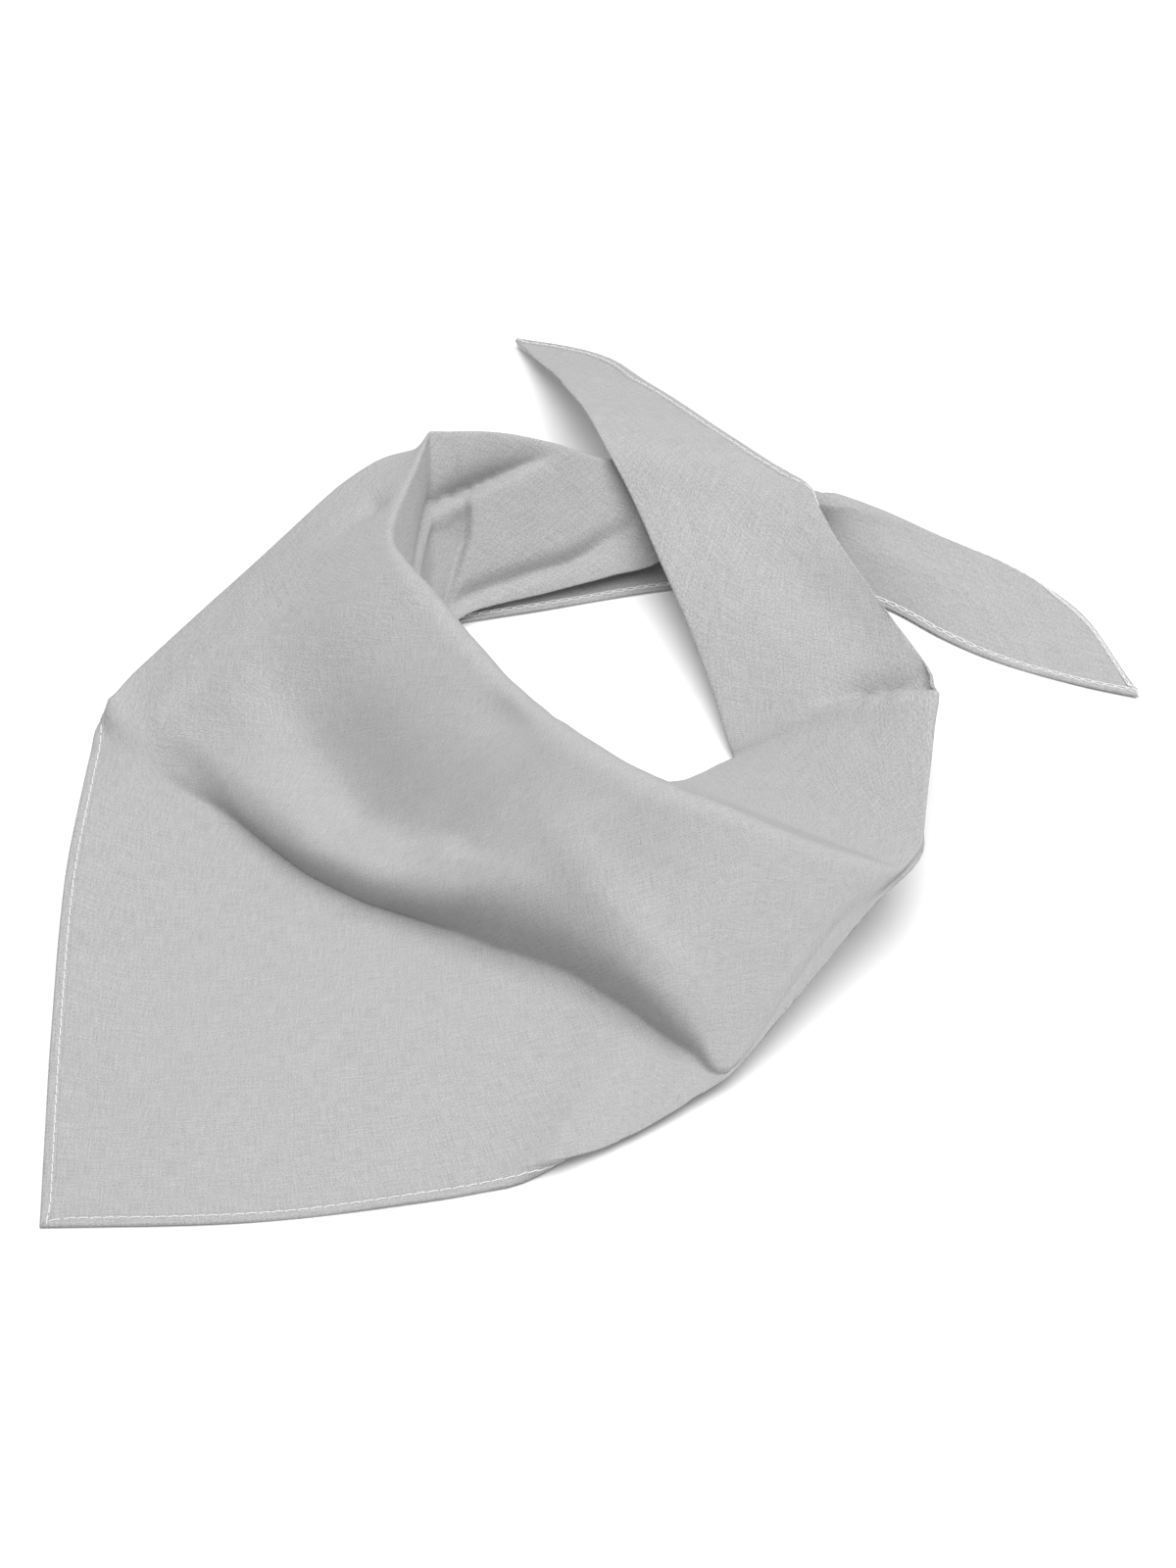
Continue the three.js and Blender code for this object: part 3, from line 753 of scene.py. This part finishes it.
def hem_half(distances):
    """Half of the hem's thickness: round at its fold, pulled in along the stitches and thin where it ends."""
    shape = HEM_SHAPE
    share = np.linspace(0, 1, HEM_COLUMNS)
    to_fold = np.clip(share / shape["fold"], 0, 1)
    fold = np.sqrt(1 - (1 - to_fold) ** 2)
    inner = 1 - shape["thinned"] * smooth_step(share, shape["thins_from"], 1)
    groove = np.exp(-(((share - STITCH["place"]) / shape["groove_width"]) ** 2))
    pulled = 0.5 + 0.5 * np.cos(math.tau * distances / STITCH["pitch"])
    pull = 1 - STITCH["pull"] + STITCH["pull"] * pulled
    depth = STITCH["groove"] * groove[None] * pull[:, None]
    return HEM_WALL / 2 * np.maximum((fold * inner)[None] * (1 - depth), shape["thinnest"])


def stitch_frames(strip, distances):
    """Where the stitches lie: their places, and the directions along the hem, inwards and away from it."""
    column = STITCH["place"] * (HEM_COLUMNS - 1)
    low = int(column)
    line = between(strip[:, low], strip[:, low + 1], column - low)
    wanted = np.arange(STITCH["pitch"] / 2, distances[-1], STITCH["pitch"])
    place = spread(line, distances, wanted)
    up = unit(spread(normals_of(strip)[:, low], distances, wanted))
    along = unit(spread(np.gradient(line, axis=0), distances, wanted))
    return place, along, unit(np.cross(up, along)), up


def thread_paths(frames, shape, side):
    """A stitch's shape, given along, inwards and up in millimetres, laid at every stitch on one side."""
    place, along, inwards, up = (part[:, None] for part in frames)
    surface = HEM_WALL / 2 * (1 - STITCH["groove"] / 2)
    along_by, inwards_by, up_by = (np.array(values)[None, :, None] for values in shape)
    return place + along * along_by + inwards * inwards_by + up * side * (surface + up_by)


def chain_loop():
    """One loop of the chain on the hem's underside, which the next loop holds down."""
    turn = np.linspace(-0.5, 0.5, CHAIN["points"]) * math.tau
    along = STITCH["pitch"] * (CHAIN["reach"] * np.cos(turn) - CHAIN["skew"] * np.cos(2 * turn))
    across = CHAIN["width"] * np.sin(turn) * (1 - CHAIN["pinch"] * (1 + np.cos(turn)))
    return along, across, CHAIN["rise"] + CHAIN["arch"] * np.cos(turn)


def needle_stitch():
    """The straight stitch on the hem's upper side, sunk into the cloth at both ends."""
    share = np.linspace(-0.5, 0.5, NEEDLE["points"])
    along = STITCH["pitch"] * NEEDLE["reach"] * share
    return along, NEEDLE["slant"] * share, NEEDLE["rise"] + NEEDLE["arch"] * np.cos(math.pi * share)


def hem_objects(name, node, grid, flat, widths, materials, needle_side=1):
    """A hem and the stitches on its two sides."""
    strip, places, distances = hem_strip(grid, flat, widths)
    band = wall_object(name + "_band", strip, hem_half(distances), places, materials["hem"])
    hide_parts(node)
    frames = stitch_frames(strip, distances)
    up = frames[3]
    needle = thread_paths(frames, needle_stitch(), needle_side)
    chain = thread_paths(frames, chain_loop(), -needle_side)
    threads = [
        strands_object(name + "_needle_stitches", needle, up, materials["thread"]),
        strands_object(name + "_chain_stitches", chain, up, materials["thread"]),
    ]
    return [band, *threads]


# Materials


class Shader:
    """Short words for a material's nodes."""

    def __init__(self, name, surface):
        self.material = bpy.data.materials.new(name)
        self.material.use_nodes = True
        self.tree = self.material.node_tree
        self.surface = self.tree.nodes["Principled BSDF"]
        for key, value in surface.items():
            self.surface.inputs[key].default_value = value

    def node(self, kind, inputs=(), **settings):
        made = self.tree.nodes.new(kind)
        for key, value in settings.items():
            setattr(made, key, value)
        for key, value in dict(inputs).items():
            if isinstance(value, bpy.types.NodeSocket):
                self.tree.links.new(value, made.inputs[key])
            else:
                made.inputs[key].default_value = value
        return made

    def math(self, operation, *values):
        return self.node("ShaderNodeMath", dict(enumerate(values)), operation=operation).outputs[0]

    def mixed(self, *parts):
        """The sum of several values, each times its weight."""
        products = [self.math("MULTIPLY", value, weight) for value, weight in parts]
        total = products[0]
        for product in products[1:]:
            total = self.math("ADD", total, product)
        return total

    def noise(self, coordinates, scale, detail):
        inputs = {"Vector": coordinates, "Scale": scale, "Detail": detail}
        return self.node("ShaderNodeTexNoise", inputs).outputs["Fac"]

    def link(self, output, name):
        self.tree.links.new(output, self.surface.inputs[name])

    def colour(self, colour, bright):
        scaled = self.node("ShaderNodeVectorMath", {0: colour, "Scale": bright}, operation="SCALE")
        self.link(scaled.outputs["Vector"], "Base Color")

    def bump(self, height, strength, depth):
        """Depth is in millimetres."""
        inputs = {"Height": height, "Strength": strength, "Distance": depth * MM}
        self.link(self.node("ShaderNodeBump", inputs).outputs["Normal"], "Normal")


def thread_coordinates(shader):
    """The flat cut's coordinates turned by 45 degrees, along the threads, in millimetres."""
    flat = shader.node("ShaderNodeUVMap", uv_map="flat").outputs["UV"]
    turned = shader.node("ShaderNodeMapping", {
        "Vector": flat, "Rotation": (0, 0, math.radians(45)), "Scale": (1 / MM, 1 / MM, 1),
    })
    return turned.outputs["Vector"]


def streaks(shader, coordinates, along_x):
    """Uneven threads along one axis: noise that is long that way and short the other way."""
    long_scale, short_scale = 1 / STREAK["along"], 1 / STREAK["across"]
    scale = (long_scale, short_scale, 1) if along_x else (short_scale, long_scale, 1)
    stretched = shader.node("ShaderNodeMapping", {"Vector": coordinates, "Scale": scale})
    return shader.math("SUBTRACT", shader.noise(stretched.outputs["Vector"], 1, STREAK["detail"]), 0.5)


def specks(shader, coordinates, look):
    return shader.math("SUBTRACT", shader.noise(coordinates, 1 / look["size"], look["detail"]), 0.5)


def plain_weave(shader, coordinates):
    """The height of threads that pass over and under each other, from 0 to about 1."""
    axes = shader.node("ShaderNodeSeparateXYZ", {"Vector": coordinates}).outputs
    phases = [shader.math("MULTIPLY", axes[name], math.tau / WEAVE_PITCH) for name in ("X", "Y")]
    crossed = shader.math("MULTIPLY", *[shader.math("SINE", phase) for phase in phases])
    return shader.math("MULTIPLY_ADD", crossed, 0.5, 0.5)


def fabric(name):
    """Fine woven cloth: melange threads along and across, specks, a weave in the bump, and a soft sheen."""
    shader = Shader(name, FABRIC_SURFACE)
    grain = GRAIN[name]
    at = thread_coordinates(shader)
    weave = plain_weave(shader, at)
    warp, weft = streaks(shader, at, True), streaks(shader, at, False)
    fine, broad = specks(shader, at, SPECK), specks(shader, at, PATCH)
    shade = shader.mixed(
        (warp, SHADE["threads"] * grain),
        (weft, SHADE["threads"] * grain),
        (fine, SHADE["specks"] * grain),
        (broad, SHADE["patches"]),
        (weave, SHADE["weave"] * grain),
    )
    shader.colour(CLOTH_COLOUR, shader.math("ADD", shade, 1 - SHADE["darker"] * grain))
    shader.link(shader.math("MULTIPLY_ADD", fine, ROUGH["by_specks"], ROUGH["middle"]), "Roughness")
    height = shader.mixed(
        (weave, RELIEF["weave"]),
        (warp, RELIEF["threads"]),
        (weft, RELIEF["threads"]),
        (fine, RELIEF["specks"]),
    )
    shader.bump(height, RELIEF["strength"], RELIEF["depth"])
    return shader.material


def thread():
    """Pale sewing thread with a faint twist."""
    shader = Shader("thread", THREAD_SURFACE)
    at = shader.node("ShaderNodeTexCoord").outputs["Object"]
    twist = shader.noise(at, TWIST["scale"], TWIST["detail"])
    shader.colour(THREAD_COLOUR, shader.math("MULTIPLY_ADD", twist, TWIST["shade"], TWIST["darkest"]))
    shader.bump(twist, TWIST["strength"], TWIST["depth"])
    return shader.material


# The floor, the light and the camera


def floor():
    bpy.ops.mesh.primitive_plane_add(size=FLOOR_SIZE, location=(0, 0, 0))
    made = bpy.context.object
    made.name = "floor"
    made.data.materials.append(Shader("floor", FLOOR_SURFACE).material)


def studio_air():
    made = bpy.data.worlds.new("studio")
    made.use_nodes = True
    background = made.node_tree.nodes["Background"]
    background.inputs["Color"].default_value = (1, 1, 1, 1)
    background.inputs["Strength"].default_value = FILL
    bpy.context.scene.world = made


def softbox():
    """One large round light above, which faces the middle of the floor."""
    data = bpy.data.lights.new("softbox", "AREA")
    data.shape = "DISK"
    data.size = SOFTBOX["size"]
    data.energy = SOFTBOX["power"]
    made = bpy.data.objects.new("softbox", data)
    made.location = SOFTBOX["place"]
    made.rotation_euler = (-Vector(SOFTBOX["place"])).to_track_quat("-Z", "Y").to_euler()
    bpy.context.scene.collection.objects.link(made)


def camera():
    """The photo's view of the scarf, whose middle is the point that the tables count from."""
    elevation = math.radians(CAMERA["elevation"])
    middle = Vector((-ORIGIN[0] * MM, -ORIGIN[1] * MM, 0))
    away = Vector((0, -math.cos(elevation), math.sin(elevation)))
    data = bpy.data.cameras.new("camera")
    data.sensor_fit = "VERTICAL"
    data.sensor_height = CAMERA["sensor"]
    data.lens = CAMERA["lens"]
    data.clip_start = CAMERA["near"]
    data.clip_end = CAMERA["far"]
    made = bpy.data.objects.new("camera", data)
    made.location = middle + away * CAMERA["distance"]
    made.rotation_euler = (math.radians(90) - elevation, 0, 0)
    bpy.context.scene.collection.objects.link(made)
    bpy.context.scene.camera = made


def scarf():
    grid, flat, places, apex = scarf_grid()
    materials = {"cloth": fabric("cloth"), "hem": fabric("hem"), "thread": thread()}
    cloth = wall_object("cloth", grid, np.full(grid.shape[:2], CLOTH_WALL / 2), flat, materials["cloth"])
    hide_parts("triangle_cloth")
    to_foot = lengths_of(grid)[:, columns_of("foot")[1]]
    widths = np.minimum(slanted_widths(grid, places), to_foot)
    turned, turned_cut = grid[:, ::-1], flat[:, ::-1]
    long_widths = np.minimum(hem_width(places), lengths_of(turned)[:, -1] - widths)
    right, left = slice(0, apex + 1), slice(apex, len(grid))
    hems = [
        *hem_objects("right_hem", "right_leg_hem", grid[right], flat[right], widths[right], materials),
        *hem_objects("left_hem", "left_leg_hem", grid[left], flat[left], widths[left], materials),
        *hem_objects("long_hem", "long_edge_hem", turned, turned_cut, long_widths, materials, needle_side=-1),
    ]


floor()
studio_air()
softbox()
camera()
scarf()
bpy.context.scene.view_settings.view_transform = "Standard"
